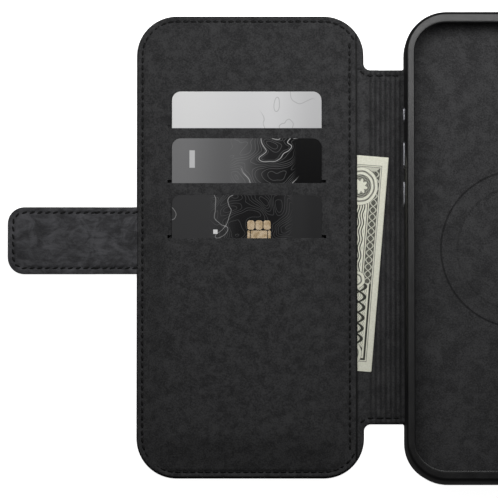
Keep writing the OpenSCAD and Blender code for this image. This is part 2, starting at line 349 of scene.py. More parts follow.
def place(tree, scale=(1, 1, 1), turn=0.0, shift=(0, 0, 0)):
    """Object coordinates in millimetres, so that a pattern's size is given in millimetres."""
    where = add(tree, "ShaderNodeTexCoord").outputs["Object"]
    size = [s / MM for s in scale]
    inputs = {"Vector": where, "Scale": size, "Rotation": (0, 0, turn), "Location": shift}
    return add(tree, "ShaderNodeMapping", inputs).outputs["Vector"]


def noise(tree, where, size, detail=2.0, rough=0.5, warp=0.0):
    """Noise whose lumps are about size millimetres across."""
    made = add(
        tree,
        "ShaderNodeTexNoise",
        {"Vector": where, "Scale": 1 / size, "Detail": detail, "Roughness": rough, "Distortion": warp},
    )
    return made.outputs["Fac"]


def math_node(tree, operation, *values):
    return add(tree, "ShaderNodeMath", dict(enumerate(values)), operation=operation).outputs[0]


def times(tree, *values):
    """Product of two or more values."""
    product = values[0]
    for value in values[1:]:
        product = math_node(tree, "MULTIPLY", product, value)
    return product


def minus(tree, a, b):
    return math_node(tree, "SUBTRACT", a, b)


def greatest(tree, *values):
    """The largest of two or more values."""
    most = values[0]
    for value in values[1:]:
        most = math_node(tree, "MAXIMUM", most, value)
    return most


def length_of(tree, x, y):
    """Length of the flat vector (x, y)."""
    return math_node(tree, "SQRT", math_node(tree, "MULTIPLY_ADD", x, x, times(tree, y, y)))


def span(tree, value, from_low, from_high, to_low=0.0, to_high=1.0):
    made = add(
        tree,
        "ShaderNodeMapRange",
        {"Value": value, "From Min": from_low, "From Max": from_high, "To Min": to_low, "To Max": to_high},
        interpolation_type="SMOOTHSTEP",
    )
    return made.outputs["Result"]


def mix_colour(tree, factor, a, b):
    made = add(tree, "ShaderNodeMix", {"Factor": factor}, data_type="RGBA")
    for index, value in ((6, a), (7, b)):
        if isinstance(value, bpy.types.NodeSocket):
            tree.links.new(value, made.inputs[index])
        else:
            made.inputs[index].default_value = linear(value)
    return made.outputs[2]


def bump(tree, shader, height, depth):
    """Bump whose full height is depth millimetres."""
    made = add(tree, "ShaderNodeBump", {"Height": height, "Strength": 1.0, "Distance": depth * MM})
    tree.links.new(made.outputs["Normal"], shader.inputs["Normal"])


def paint(tree, shader, factor, dark, light):
    """Base colour from dark to light over the middle of the factor's range; factor is mostly a noise."""
    tree.links.new(mix_colour(tree, span(tree, factor, 0.3, 0.7), dark, light), shader.inputs["Base Color"])


def between(tree, value, low, high, soft):
    """1 from low to high, fading out over soft at either end."""
    rising = span(tree, value, low - soft, low)
    return times(tree, rising, span(tree, value, high, high + soft, 1.0, 0.0))


def microsuede(name, dark, light, patch=3.5, groove_shade=None):
    """Polyester microsuede: a matt nap in soft patches; the optional mask darkens it towards #121213 as
    painted shade in grooves.
    """
    made, tree, shader = start_material(
        name, 0.95, Sheen_Weight=0.12, Sheen_Roughness=0.45, Specular_IOR_Level=0.15
    )
    where = place(tree)
    patches = noise(tree, where, patch, 3, 0.6, 0.4)
    nap = noise(tree, where, 0.55, 3, 0.7)
    tone = math_node(tree, "ADD", times(tree, patches, 0.4), times(tree, nap, 0.6))
    colour = mix_colour(tree, span(tree, tone, 0.37, 0.63), dark, light)
    # painted shade: where the mask is high the nap turns near black, standing in for the shade in grooves
    if groove_shade:
        colour = mix_colour(tree, groove_shade(tree), colour, "#121213")
    tree.links.new(colour, shader.inputs["Base Color"])
    bump(tree, shader, nap, 0.12)
    return made


def rib_groove_shade(tree):
    """Painted shade in the grooves between the spine's ribs, as a mask."""
    across = add(tree, "ShaderNodeSeparateXYZ", {0: place(tree)}).outputs["X"]
    run = times(tree, minus(tree, across, RIB_FIRST), 2 * math.pi / RIB_PITCH)
    groove = span(tree, math_node(tree, "COSINE", run), -0.4, 1.0, 0.0, 0.45)
    return times(tree, groove, span(tree, across, RIB_FIRST - 0.8, RIB_FIRST - 0.5))


def ring_groove_shade(tree):
    """Painted shade along the fine circle pressed into the tray's lining by the magnet ring's edge, and
    fainter painted shade along one inside it.
    """
    flat = add(tree, "ShaderNodeVectorMath", {0: place(tree), 1: (1, 1, 0)}, operation="MULTIPLY").outputs[0]
    reach = add(tree, "ShaderNodeVectorMath", {0: flat}, operation="LENGTH").outputs["Value"]
    lines = []
    for radius, half_width, soft, strength in ((RING_GROOVE, 0.22, 0.25, 0.6), (RING_FAINT, 0.2, 0.35, 0.22)):
        line = between(tree, reach, radius - half_width, radius + half_width, soft)
        lines.append(times(tree, line, strength))
    return greatest(tree, *lines)


def nubuck_leather(name):
    """Nubuck: grain leather sanded to a fine nap, mottled where handling has pressed it."""
    made, tree, shader = start_material(
        name, 0.85, Sheen_Weight=0.15, Sheen_Roughness=0.4, Specular_IOR_Level=0.25
    )
    where = place(tree)
    patches = noise(tree, where, 5.5, 4, 0.62, 1.2)
    streaks = noise(tree, place(tree, (0.5, 1.3, 1)), 2.2, 3, 0.6, 0.8)
    grain = noise(tree, where, 0.45, 3, 0.7)
    tone = math_node(tree, "MULTIPLY_ADD", patches, 0.6, math_node(tree, "MULTIPLY", streaks, 0.4))
    base = mix_colour(tree, span(tree, tone, 0.34, 0.68), "#2b2b2d", "#515154")
    worn = mix_colour(tree, span(tree, grain, 0.55, 0.8, 0, 0.35), base, "#6a6a6d")
    tree.links.new(worn, shader.inputs["Base Color"])
    bump(tree, shader, grain, 0.1)
    return made


def pebbled_leather(name):
    """Full-grain leather, dyed black and lightly waxed: rounded grain cells with fine creases between, whose
    darker colour is painted shade.
    """
    made, tree, shader = start_material(name, 0.58, Specular_IOR_Level=0.35)
    where = place(tree)
    warped = add(tree, "ShaderNodeVectorMath", {0: where, 1: (0, 0, 0)}, operation="ADD")
    shift = add(tree, "ShaderNodeTexNoise", {"Vector": where, "Scale": 1 / 1.6, "Detail": 2.0})
    tree.links.new(shift.outputs["Color"], warped.inputs[1])
    cells = add(
        tree,
        "ShaderNodeTexVoronoi",
        {"Vector": warped.outputs[0], "Scale": 1 / 0.75, "Smoothness": 0.6},
        feature="SMOOTH_F1",
    ).outputs["Distance"]
    patches = noise(tree, where, 9, 3, 0.6)
    colour = mix_colour(tree, span(tree, patches, 0.3, 0.7), "#0e0e0f", "#181819")
    # painted shade: the colour darkens towards #070707 between the grain cells, where the bump is lowest
    crease_shade = mix_colour(tree, span(tree, cells, 0.45, 0.75, 0, 0.6), colour, "#070707")
    tree.links.new(crease_shade, shader.inputs["Base Color"])
    tree.links.new(span(tree, patches, 0.2, 0.8, 0.5, 0.64), shader.inputs["Roughness"])
    bump(tree, shader, math_node(tree, "SUBTRACT", 1.0, cells), 0.09)
    return made


def edge_paint_and_shadow(name):
    """Acrylic edge paint on cut leather: black, half matt, laid on a little unevenly; it also stands in for
    the painted shadow beside the lining's free edge.
    """
    made, tree, shader = start_material(name, 0.6, Specular_IOR_Level=0.2)
    where = place(tree)
    coats = noise(tree, where, 1.2, 2, 0.5)
    paint(tree, shader, coats, "#040405", "#0a0a0b")
    tree.links.new(span(tree, coats, 0.3, 0.7, 0.52, 0.68), shader.inputs["Roughness"])
    bump(tree, shader, coats, 0.03)
    return made


def soft_rubber(name, dark="#0b0b0c", light="#101011"):
    """TPU with a soft-touch coat: satin, with a moulded fine texture and faint handling marks."""
    made, tree, shader = start_material(name, 0.38, Specular_IOR_Level=0.45)
    where = place(tree)
    patches = noise(tree, where, 7, 3, 0.6)
    texture = noise(tree, where, 0.3, 2, 0.6)
    paint(tree, shader, patches, dark, light)
    tree.links.new(span(tree, patches, 0.25, 0.75, 0.35, 0.43), shader.inputs["Roughness"])
    bump(tree, shader, texture, 0.025)
    return made


def moulded_plastic(name):
    """Polycarbonate moulded with a spark-eroded texture: fine, even, low gloss."""
    made, tree, shader = start_material(name, 0.42, IOR=1.585)
    where = place(tree)
    texture = noise(tree, where, 0.25, 2, 0.6)
    marks = noise(tree, where, 5, 3, 0.6)
    paint(tree, shader, marks, "#151517", "#1e1e20")
    tree.links.new(span(tree, marks, 0.2, 0.8, 0.38, 0.5), shader.inputs["Roughness"])
    bump(tree, shader, texture, 0.03)
    return made


def anodised_aluminium(name):
    """Aluminium, bead blasted then dyed dark grey: a metal with a fine satin grain along its length."""
    made, tree, shader = start_material(name, 0.45, Metallic=1.0)
    grain = noise(tree, place(tree, (1, 0.08, 1)), 0.12, 2, 0.6)
    paint(tree, shader, grain, "#6d6d72", "#8b8b90")
    tree.links.new(span(tree, grain, 0.3, 0.7, 0.4, 0.5), shader.inputs["Roughness"])
    bump(tree, shader, grain, 0.006)
    return made


def plated_steel(name):
    """Nickel-plated steel: bright, with grinding lines."""
    made, tree, shader = start_material(name, 0.3, Metallic=1.0)
    grain = noise(tree, place(tree, (0.06, 1, 1)), 0.2, 2, 0.6)
    paint(tree, shader, grain, "#a4a6aa", "#bfc1c4")
    bump(tree, shader, grain, 0.01)
    return made


def fibreboard(name):
    """Pressed leather-fibre board: brown, matt, with short fibres."""
    made, tree, shader = start_material(name, 0.9)
    fibres = noise(tree, place(tree, (0.35, 1, 1)), 0.6, 4, 0.7, 0.6)
    paint(tree, shader, fibres, "#4c4339", "#6a5e50")
    bump(tree, shader, fibres, 0.05)
    return made


def waxed_thread(name):
    """Bonded polyester thread, black, with a slight wax shine; its twist is a fine slanting bump, and the
    colour is darker in the twist's valleys as painted shade.
    """
    made, tree, shader = start_material(name, 0.6, Specular_IOR_Level=0.2)
    inputs = {"Vector": place(tree, turn=0.7), "Scale": 0.55}
    twist = add(tree, "ShaderNodeTexWave", inputs, bands_direction="X").outputs["Fac"]
    # painted shade: the colour darkens in the valleys of the twist, in step with its bump
    tree.links.new(mix_colour(tree, twist, "#030303", "#0a0a0b"), shader.inputs["Base Color"])
    bump(tree, shader, twist, 0.04)
    return made


def contour_lines(tree, shift, size, levels, half_width):
    """Lines of equal height on smooth noise, like those of a map; half_width is in millimetres."""
    reach = 0.15

    def height(dx, dy):
        return noise(tree, place(tree, shift=(shift[0] + dx, shift[1] + dy, 0)), size, 1.5, 0.45, 0.4)

    here = height(0, 0)
    rises = [minus(tree, height(dx, dy), here) for dx, dy in ((reach, 0), (0, reach))]
    slope = math_node(tree, "DIVIDE", length_of(tree, *rises), reach)
    band = math_node(tree, "FRACT", times(tree, here, levels))
    off = math_node(tree, "ABSOLUTE", minus(tree, band, 0.5))
    away = math_node(tree, "DIVIDE", off, math_node(tree, "MULTIPLY_ADD", slope, levels, 0.02))
    return span(tree, away, half_width * 0.5, half_width * 1.5, 1.0, 0.0)


def printed_card(name, shades, places, lines, mark=None):
    """PVC card with a satin laminate: a graded print, with map lines of its own design over a part of it."""
    made, tree, shader = start_material(name, 0.3, Specular_IOR_Level=0.05)
    plain = add(tree, "ShaderNodeSeparateXYZ", {0: place(tree)})
    x, y = plain.outputs["X"], plain.outputs["Y"]
    colour = shades[0]
    for shade, (low, high) in zip(shades[1:], places):
        colour = mix_colour(tree, span(tree, x, low, high), colour, shade)
    for shift, size, levels, width, strength, shade, low, high in lines:
        drawn = times(tree, contour_lines(tree, shift, size, levels, width), strength)
        colour = mix_colour(tree, times(tree, drawn, between(tree, x, low, high, 2.5)), colour, shade)
    if mark:
        shade, left, right, low, high = mark
        inside = times(tree, between(tree, x, left, right, 0.15), between(tree, y, low, high, 0.15))
        colour = mix_colour(tree, inside, colour, shade)
    tree.links.new(colour, shader.inputs["Base Color"])
    bump(tree, shader, noise(tree, place(tree), 0.3, 2, 0.6), 0.004)
    return made


def gold_contact(name):
    """Hard gold plating over nickel on a contact pad: warm, satin, slightly uneven."""
    made, tree, shader = start_material(name, 0.42, Metallic=1.0)
    where = place(tree)
    wear = noise(tree, where, 1.6, 3, 0.6)
    paint(tree, shader, wear, "#958164", "#ab9b84")
    tree.links.new(span(tree, wear, 0.3, 0.7, 0.34, 0.46), shader.inputs["Roughness"])
    bump(tree, shader, noise(tree, where, 0.2, 2, 0.5), 0.006)
    return made


def engraved_paper(name):
    """Cotton note paper, printed from engraved plates: a plain margin, then borders of interlaced lines."""
    made, tree, shader = start_material(name, 0.8, Specular_IOR_Level=0.2)
    where = add(tree, "ShaderNodeTexCoord").outputs["Object"]
    corner = (NOTE_CORNER.x * MM, NOTE_CORNER.y * MM, 0)
    moved = add(tree, "ShaderNodeVectorMath", {0: where, 1: corner}, operation="SUBTRACT").outputs[0]
    inputs = {"Vector": moved, "Rotation": (0, 0, -NOTE_TILT), "Scale": (1 / MM,) * 3}
    turned = add(tree, "ShaderNodeMapping", inputs).outputs["Vector"]
    flat = add(tree, "ShaderNodeSeparateXYZ", {0: turned}).outputs
    x, y = times(tree, flat["X"], -1.0), times(tree, flat["Y"], -1.0)
    edge_y = math_node(tree, "MINIMUM", y, minus(tree, NOTE_L, y))
    edge = math_node(tree, "MINIMUM", x, minus(tree, edge_y, 1.2))

    def wave(period, phase):
        return math_node(tree, "SINE", math_node(tree, "MULTIPLY_ADD", y, 2 * math.pi / period, phase))

    def lace(pitch, sway, period, phase):
        """Wavy engraved lines a pitch apart along x that sway along y."""
        path = math_node(tree, "MULTIPLY_ADD", wave(period, phase), sway, x)
        return span(tree, math_node(tree, "SINE", times(tree, path, 2 * math.pi / pitch)), -0.3, 0.6)

    def scroll(centre, sway, period, width):
        """A rope of two crossing pale strands along the border."""
        strands = []
        for phase in (0.0, math.pi):
            off = minus(tree, math_node(tree, "MULTIPLY_ADD", wave(period, phase), sway, edge), centre)
            strands.append(span(tree, math_node(tree, "ABSOLUTE", off), width * 0.6, width, 1.0, 0.0))
        return greatest(tree, *strands)

    def rosette(cx, cy, radius, lobes, squash):
        """Dark disc with pale scalloped rings and a pale lobed heart; returns its ink and where it lies."""
        dx, dy = minus(tree, x, cx), times(tree, minus(tree, y, cy), squash)
        reach = length_of(tree, dx, dy)
        petals = math_node(tree, "SINE", times(tree, math_node(tree, "ARCTAN2", dy, dx), float(lobes)))
        weave = math_node(tree, "SINE", times(tree, reach, 2 * math.pi / 0.75))
        ink = math_node(tree, "MULTIPLY_ADD", times(tree, weave, petals), 0.22, 0.76)
        for low, high in ((radius - 0.95, radius - 0.25), (radius - 2.3, radius - 1.75)):
            ink = minus(tree, ink, between(tree, reach, low, high, 0.2))
        heart = math_node(tree, "MULTIPLY_ADD", petals, 0.45, reach)
        ink = minus(tree, ink, span(tree, heart, radius * 0.3, radius * 0.36, 1.0, 0.0))
        inside = span(tree, reach, radius - 0.1, radius + 0.1, 1.0, 0.0)
        return times(tree, greatest(tree, ink, 0.0), inside), inside

    # the upper part: a laced border between two rules, and a field of fine wavy lines inside it
    upper = span(tree, y, 46.0, 46.5, 1.0, 0.0)
    pale = times(tree, scroll(4.15, 1.1, 5.2, 0.3), 0.7)
    fine = times(tree, lace(0.62, 0.5, 2.6, 0.0), 0.22)
    border = times(
        tree, between(tree, edge, 2.7, 5.6, 0.12), upper, minus(tree, 1.0, pale), minus(tree, 1.0, fine)
    )
    outer_line = times(tree, between(tree, edge, 2.1, 2.25, 0.1), 0.7)
    inner_line = times(tree, between(tree, edge, 6.1, 6.3, 0.1), upper)
    field = times(tree, span(tree, edge, 6.8, 7.0), lace(0.9, 0.3, 6.0, 1.0), upper)

    # the lower part: one rule, then a braid laid over close lines
    rule = between(tree, edge, 2.7, 3.3, 0.12)
    braid = times(tree, between(tree, edge, 4.0, 11.0, 0.15), scroll(6.6, 2.1, 7.6, 0.8))
    weft = times(tree, between(tree, edge, 4.0, 11.0, 0.15), lace(0.7, 0.45, 3.4, 2.0), 0.5)
    block = times(tree, greatest(tree, rule, braid, weft), minus(tree, 1.0, upper))

    ink = greatest(tree, border, outer_line, inner_line, field, block)
    for cx, cy, radius, lobes, squash in (
        (9.3, 11.2, 6.3, 8, 0.9),
        (8.2, 45.2, 3.3, 6, 1.0),
        (9.0, 72.0, 5.0, 8, 1.0),
    ):
        lines, inside = rosette(cx, cy, radius, lobes, squash)
        ink = math_node(tree, "MULTIPLY_ADD", ink, minus(tree, 1.0, inside), lines)
    fibres = noise(tree, turned, 0.6, 3, 0.6)
    paper = mix_colour(tree, span(tree, fibres, 0.3, 0.7), "#dcdccb", "#e7e7d8")
    printed = mix_colour(tree, times(tree, ink, 0.96), paper, "#1d1f19")
    tree.links.new(printed, shader.inputs["Base Color"])
    bump(tree, shader, fibres, 0.02)
    return made


# painted light: the tray and spine copies of this microsuede are a little lighter than the lining's to make
# up for the light they get
SUEDE = microsuede("microsuede_lining", "#272728", "#3e3e3f")
SUEDE_TRAY = microsuede("microsuede_tray", "#2a2a2b", "#404041", 4.5, ring_groove_shade)
SUEDE_SPINE = microsuede("microsuede_spine", "#29292a", "#414142", 3.5, rib_groove_shade)
NUBUCK = nubuck_leather("nubuck_strap")
LEATHER = pebbled_leather("smooth_leather")
EDGE_PAINT_AND_SHADOW = edge_paint_and_shadow("leather_edge_paint_and_shadow")
RUBBER = soft_rubber("soft_touch_rubber")
PLASTIC = moulded_plastic("moulded_polycarbonate")
BUTTON_METAL = anodised_aluminium("anodised_aluminium")
STEEL = plated_steel("plated_steel")
BOARD = fibreboard("leather_fibreboard")
THREAD = waxed_thread("waxed_thread")
GOLD = gold_contact("gold_contact")
PAPER = engraved_paper("engraved_note_paper")
CARD_SILVER = printed_card(
    "card_silver",
    ("#dedede", "#d3d3d4", "#bababb"),
    ((-122, -94), (-92, -72)),
    (((9, 4), 13, 5, 0.12, 0.55, "#8f8f90", -92, -76),),
)
CARD_GREY = printed_card(
    "card_grey",
    ("#757576", "#606061", "#1d1d1e", "#080809"),
    ((-122, -104), (-103, -90), (-88, -82)),
    (
        ((40, -7), 15, 30, 0.07, 0.34, "#8c8c8d", -103, -83),
        ((40, -7), 15, 3, 0.085, 0.8, "#c4c4c4", -99, -82),
    ),
    ("#c4c4c5", -119.2, -117.4, 29.4, 35.6),
)
CARD_BLACK = printed_card(
    "card_black",
    ("#3a3a3b", "#19191a", "#2e2e2f", "#29292a"),
    ((-112, -100), (-88, -82), (-80, -74)),
    (
        ((-19, 31), 13, 26, 0.065, 0.3, "#7d7d7e", -110, -84),
        ((12, 8), 17, 4, 0.075, 0.65, "#a9a9a9", -127, -80),
    ),
    ("#e2e2e2", -110.6, -109.2, 5.2, 6.6),
)

# ---------------------------------------------------------------- hide


def hide_corners(inset=0.0):
    """Outline of the cover and half the spine, drawn in by inset, from the spine's lower edge round."""
    n = NOTCH_R + inset
    low = -SPINE_HALF + inset
    return [
        (SPINE_MID, low, 0),
        (EAR_X - inset, low, n),
        (EAR_X - inset, -COVER_HALF + inset, COVER_R - inset),
        (COVER_LEFT + inset, -COVER_HALF + inset, COVER_R - inset),
        (COVER_LEFT + inset, COVER_HALF - inset, COVER_R - inset),
        (EAR_X - inset, COVER_HALF - inset, COVER_R - inset),
        (EAR_X - inset, -low, n),
        (SPINE_MID, -low, 0),
    ]


FOLD_LINES_COVER = [FOLD_COVER_X + d * 0.4 for d in range(-6, 7)]
FOLD_LINES_TRAY = [FOLD_TRAY_X + d * 0.3 for d in range(-6, 7)]


def across_fold(obj, z):
    """Bakes a piece's placement into its mesh."""
    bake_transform(obj)


def across_cover_fold(obj):
    across_fold(obj, FOLD_Z)


def across_tray_fold(obj):
    across_fold(obj, FOLD_Z)


front_path = facing_up(rounded_path(hide_corners()))
cover_hide = plate("cover_hide", front_path, 0, HIDE_TOP, 4.0, 0.35, FOLD_LINES_COVER, seams=(SPINE_MID,))
finish_piece(cover_hide, LEATHER, "smooth_leather", "cover_leather")
across_cover_fold(cover_hide)
beside_tray(cover_hide)

back_path = facing_up(
    rounded_path(
        [
            (SPINE_MID, SPINE_LOW.y, 0),
            (BACK_LOW.x, SPINE_LOW.y, 0.6),
            (BACK_LOW.x, BACK_LOW.y, BACK_R),
            (BACK_HIGH.x, BACK_LOW.y, BACK_R),
            (BACK_HIGH.x, BACK_HIGH.y, BACK_R),
            (BACK_LOW.x, BACK_HIGH.y, BACK_R),
            (BACK_LOW.x, SPINE_HIGH.y, 0.6),
            (SPINE_MID, SPINE_HIGH.y, 0),
        ]
    )
)
back_hide = plate("back_hide", back_path, 0, BACK_TOP, 6.0, 0.3, FOLD_LINES_TRAY, seams=(SPINE_MID,))
camera_centre = (BEZEL_LOW + BEZEL_HIGH) / 2
camera_w = BEZEL_HIGH.x - BEZEL_LOW.x
camera_path = rounded_box(camera_centre.x, camera_centre.y, camera_w, camera_w, CAMERA_R)
cut_away(back_hide, [prism(camera_path, 2, -2, 4)])
finish_piece(back_hide, LEATHER, "smooth_leather", "back_leather", "spine_leather")
across_tray_fold(back_hide)

# ---------------------------------------------------------------- linings under the note and on the spine

RIB_STEP = RIB_PITCH / 8
RIB_LAST = FOLD_TRAY_X + 0.1


def start_group(name, labels):
    """A Geometry Nodes tree that takes a shape, the labelled numbers and a material, and gives a shape."""
    tree = bpy.data.node_groups.new(name, "GeometryNodeTree")
    face = tree.interface
    face.new_socket("Geometry", in_out="INPUT", socket_type="NodeSocketGeometry")
    for label in labels:
        face.new_socket(label, in_out="INPUT", socket_type="NodeSocketFloat")
    face.new_socket("Material", in_out="INPUT", socket_type="NodeSocketMaterial")
    face.new_socket("Geometry", in_out="OUTPUT", socket_type="NodeSocketGeometry")
    return tree, add(tree, "NodeGroupInput").outputs


def end_group(tree, given, shape):
    """Ends a tree with one real mesh in the given material."""
    whole = add(tree, "GeometryNodeRealizeInstances", {0: shape}).outputs[0]
    inputs = {"Geometry": whole, "Material": given["Material"]}
    add(tree, "NodeGroupOutput", {0: add(tree, "GeometryNodeSetMaterial", inputs).outputs[0]})
    return tree


def rib_tree():
    """Geometry Nodes: presses grooves into the sheet's upper face, across the spine."""
    labels = ("Pitch", "Depth", "First groove", "Last groove", "Half length", "Face height")
    tree, given = start_group("spine_ribs", labels)
    run_in, run_out = 0.0001, 0.0009
    spot = add(tree, "ShaderNodeSeparateXYZ", {0: add(tree, "GeometryNodeInputPosition").outputs[0]}).outputs
    run = math_node(tree, "DIVIDE", minus(tree, spot["X"], given["First groove"]), given["Pitch"])
    wave = math_node(tree, "COSINE", times(tree, run, 2 * math.pi))
    groove = math_node(tree, "POWER", math_node(tree, "MULTIPLY_ADD", wave, 0.5, 0.5), 1.6)

    def fade(value, low, high, to_low, to_high):
        return add(tree, "ShaderNodeMapRange", {0: value, 1: low, 2: high, 3: to_low, 4: to_high}).outputs[0]

    first = minus(tree, given["First groove"], times(tree, given["Pitch"], 0.5))
    last = given["Last groove"]
    enter = fade(spot["X"], first, math_node(tree, "ADD", first, run_in), 0.0, 1.0)
    leave = fade(spot["X"], last, math_node(tree, "ADD", last, run_in), 1.0, 0.0)
    reach = math_node(tree, "ABSOLUTE", spot["Y"])
    ends = fade(reach, minus(tree, given["Half length"], run_out), given["Half length"], 1.0, 0.0)
    upper = math_node(tree, "GREATER_THAN", spot["Z"], given["Face height"])
    down = times(tree, groove, enter, leave, ends, upper, given["Depth"], -1.0)
    offset = add(tree, "ShaderNodeCombineXYZ", {"Z": down}).outputs[0]
    moved = add(tree, "GeometryNodeSetPosition", {"Geometry": given["Geometry"], "Offset": offset}).outputs[0]
    return end_group(tree, given, moved)


def use_tree(obj, tree, values):
    """Runs a Geometry Nodes tree on an object, with its inputs set by their sockets' identifiers."""
    run = obj.modifiers.new(tree.name, "NODES")
    run.node_group = tree
    for item in tree.interface.items_tree:
        if item.in_out == "INPUT" and item.name in values:
            run[item.identifier] = values[item.name]
    return applied(obj)


RIBS = rib_tree()


def pressed_ribs(obj, last):
    """Presses the spine's grooves into a lining, up to the X place last."""
    return use_tree(
        obj,
        RIBS,
        {
            "Pitch": RIB_PITCH * MM,
            "Depth": RIB_DEPTH * MM,
            "First groove": RIB_FIRST * MM,
            "Last groove": last * MM,
            "Half length": (SPINE_HALF - SEAM_IN - 1.0) * MM,
            "Face height": (FOLD_Z - 0.05) * MM,
            "Material": SUEDE_SPINE,
        },
    )


SEAM_LINES = [s * (SPINE_HALF - SEAM_IN + d) for s in (-1, 1) for d in ACROSS_SEAM]


def spine_top(x, y):
    """Upper face of the linings on the spine: drawn down along the seam and at the turned edge."""
    out = abs(y) - SPINE_HALF if x > EAR_X else -9
    dip = 0.26 * (1 - smooth_step(0.1, 0.85, abs(out + SEAM_IN)))
    return FOLD_Z - dip - 0.12 * smooth_step(-1.2, 0, out)


def lower_shape(x, y, t):
    return HIDE_TOP + (spine_top(x, y) - HIDE_TOP) * t


def spine_shape(x, y, t):
    return 1.0 + (spine_top(x, y) - 1.0) * t


inner_front = facing_up(rounded_path(hide_corners(0.35)))
under_lining = plate(
    "under_lining", inner_front, HIDE_TOP, FOLD_Z, 4.0, 0.15,
    FOLD_LINES_COVER + lines_between(RIB_FIRST - 0.9, SPINE_MID, RIB_STEP), SEAM_LINES,
    seams=(SPINE_MID,), shape=lower_shape,
)
pressed_ribs(under_lining, SPINE_MID + 1)
finish_piece(under_lining, SUEDE_SPINE, "microsuede", "pocket_back_lining")
across_cover_fold(under_lining)
beside_tray(under_lining)

inner_back = facing_up(
    rounded_path(
        [
            (SPINE_MID, -SPINE_HALF + 0.35, 0),
            (-41.2, -SPINE_HALF + 0.35, 0),
            (-41.2, SPINE_HALF - 0.35, 0),
            (SPINE_MID, SPINE_HALF - 0.35, 0),
        ]
    )
)
spine_lining = plate(
    "spine_lining_back", inner_back, 1.0, FOLD_Z, 4.0, 0.15,
    FOLD_LINES_TRAY + lines_between(SPINE_MID, RIB_LAST, RIB_STEP), SEAM_LINES,
    seams=(SPINE_MID,), shape=spine_shape,
)
pressed_ribs(spine_lining, RIB_LAST)
finish_piece(spine_lining, SUEDE_SPINE, "microsuede", "spine_lining")
across_tray_fold(spine_lining)
beside_tray(spine_lining)

# ---------------------------------------------------------------- cover lining with its three slots


def pocket_height(x, y):
    """How far the lining is raised over the cards, in millimetres."""
    aside = abs(x - SLOT_X) - SLOT_HALF
    run = min(max((aside + 0.8) / 9.4, 0.0), 1.0)
    across = 1 - (run + smooth_step(0, 1, run)) / 2
    below = smooth_step(POCKET_BOTTOM - 15.5, POCKET_BOTTOM + 0.4, y)
    total = 0.0
    for slot_y in SLOT_Y:
        spread = max(aside, 0) * 0.6
        above = 1 - smooth_step(slot_y + 0.05 - spread, slot_y + SLOT_GAP - 0.05 + spread, y)
        total += POCKET_RISE * across * above * below
    return total


def seam_dip(x, y):
    """Depth of the valley that the perimeter seam pulls into the lining."""
    near = min(x - COVER_LEFT, COVER_HALF - abs(y))
    corner_y = COVER_HALF - COVER_R
    for corner_x, aside in ((COVER_LEFT + COVER_R, -1), (EAR_X - COVER_R, 1)):
        if (x - corner_x) * aside > 0 and abs(y) > corner_y:
            near = COVER_R - math.hypot(x - corner_x, abs(y) - corner_y)
    near = min(abs(near - SEAM_IN), abs(FREE_EDGE_X - x - SEAM_IN))
    return 0.5 * (1 - smooth_step(0.1, 0.85, near))


def lining_shape(x, y, t):
    """The lining's two faces: both rise over the cards, and the lower one comes down to the cover's rim."""
    rim = min(x - COVER_LEFT, COVER_HALF - abs(y))
    raised = pocket_height(x, y)
    low = FOLD_Z + 0.45 - 0.44 * (1 - smooth_step(2.0, 4.5, rim)) + raised
    high = LINING_TOP + raised - seam_dip(x, y)
    return low + (high - low) * t


def right_edge_y(inset):
    """Where the free edge meets the cover's rounded corner."""
    reach = FREE_EDGE_X - (EAR_X - COVER_R)
    return COVER_HALF - COVER_R + math.sqrt((COVER_R - inset) ** 2 - reach**2)


def lining_outline(inset):
    """Cover outline, cut off straight where the lining's free edge crosses it."""
    corners = [
        (EAR_X - inset, -COVER_HALF + inset, COVER_R - inset),
        (EAR_X - inset, COVER_HALF - inset, COVER_R - inset),
        (COVER_LEFT + inset, COVER_HALF - inset, COVER_R - inset),
        (COVER_LEFT + inset, -COVER_HALF + inset, COVER_R - inset),
    ]
    kept = [p for p in rounded_path(corners) if p.x < FREE_EDGE_X - 0.05]
    kept.sort(key=lambda p: math.atan2(p.y, p.x - FREE_EDGE_X) % (2 * math.pi))
    y = right_edge_y(inset)
    return [Vector((FREE_EDGE_X, -y)), Vector((FREE_EDGE_X, y))] + kept


slits = [(SLOT_X - SLOT_HALF, SLOT_X + SLOT_HALF, y, y + SLOT_GAP) for y in SLOT_Y]
slit_rows = [y + d for y in SLOT_Y for d in (-1.2, -0.5, 0.35, 0.7, 1.0, 1.9, 2.6)]
slit_ends = [SLOT_X + s * (SLOT_HALF + d) for s in (-1, 1) for d in (0.5, 1.0)]
seam_rows = [s * (COVER_HALF - SEAM_IN + d) for s in (-1, 1) for d in ACROSS_SEAM]
seam_columns = [x + d for x in (COVER_LEFT + SEAM_IN, FREE_EDGE_X - SEAM_IN) for d in ACROSS_SEAM]
card_lining = plate(
    "card_lining", lining_outline(0.45), 2.35, LINING_TOP, 1.6, 0.14,
    seam_columns + slit_ends, seam_rows + slit_rows, slits, shape=lining_shape,
)
finish_piece(card_lining, SUEDE, "microsuede", "cover_lining")
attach(card_lining, "cover")
beside_tray(card_lining)

# painted shadow: this black strip along the lining's free edge is edge paint, and it also reaches 0.6 mm past
# the edge, standing in for the shadow the edge throws onto the spine
free_y = right_edge_y(0.45) - 0.1
free_edge_paint_and_shadow = plate(
    "pocket_edge",
    [
        Vector((FREE_EDGE_X - 0.1, -free_y)),
        Vector((FREE_EDGE_X + 0.6, -free_y)),
        Vector((FREE_EDGE_X + 0.6, free_y)),
        Vector((FREE_EDGE_X - 0.1, free_y)),
    ],
    2.3, LINING_TOP - 0.06, 8.0, 0.12,
)
finish_piece(free_edge_paint_and_shadow, EDGE_PAINT_AND_SHADOW, "smooth_leather")
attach(free_edge_paint_and_shadow, "cover")
beside_tray(free_edge_paint_and_shadow)

# ---------------------------------------------------------------- strap


